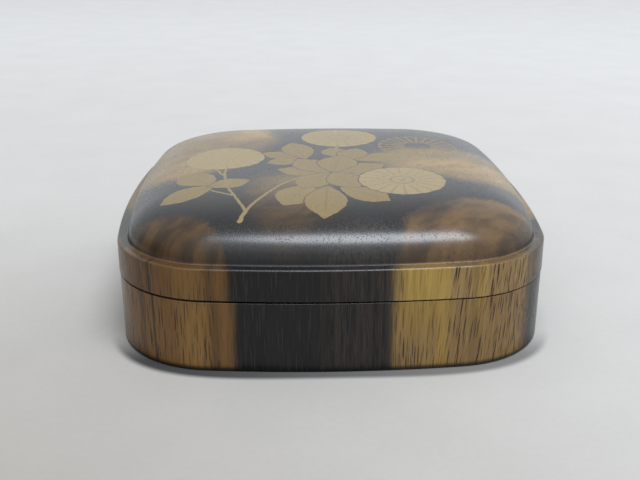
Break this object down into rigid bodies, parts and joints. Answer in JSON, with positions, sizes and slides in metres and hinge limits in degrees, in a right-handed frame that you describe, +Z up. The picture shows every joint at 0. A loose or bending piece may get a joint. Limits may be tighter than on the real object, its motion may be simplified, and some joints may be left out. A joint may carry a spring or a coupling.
{
  "type": "incense box",
  "caption": "Small hollow wooden incense box, rounded square, with a domed lift-off lid of black and tan wood painted with flat gold flowers and leaves.",
  "frame": {"origin": "centre of the underside", "axes": "+Z up through the lid's crown; the four sides face along X and Y, and the foot of the painted stem is nearest the side that faces -Y"},
  "size_m": [0.07, 0.07, 0.0237],
  "materials": {
    "base_wood": "satin, black and yellow-brown figured wood",
    "lid_wood": "satin, black and tan figured wood with flat gold painting"
  },
  "bodies": {
    "root": {"base": "base_wood", "lid": "lid_wood"}
  },
  "joints": []
}
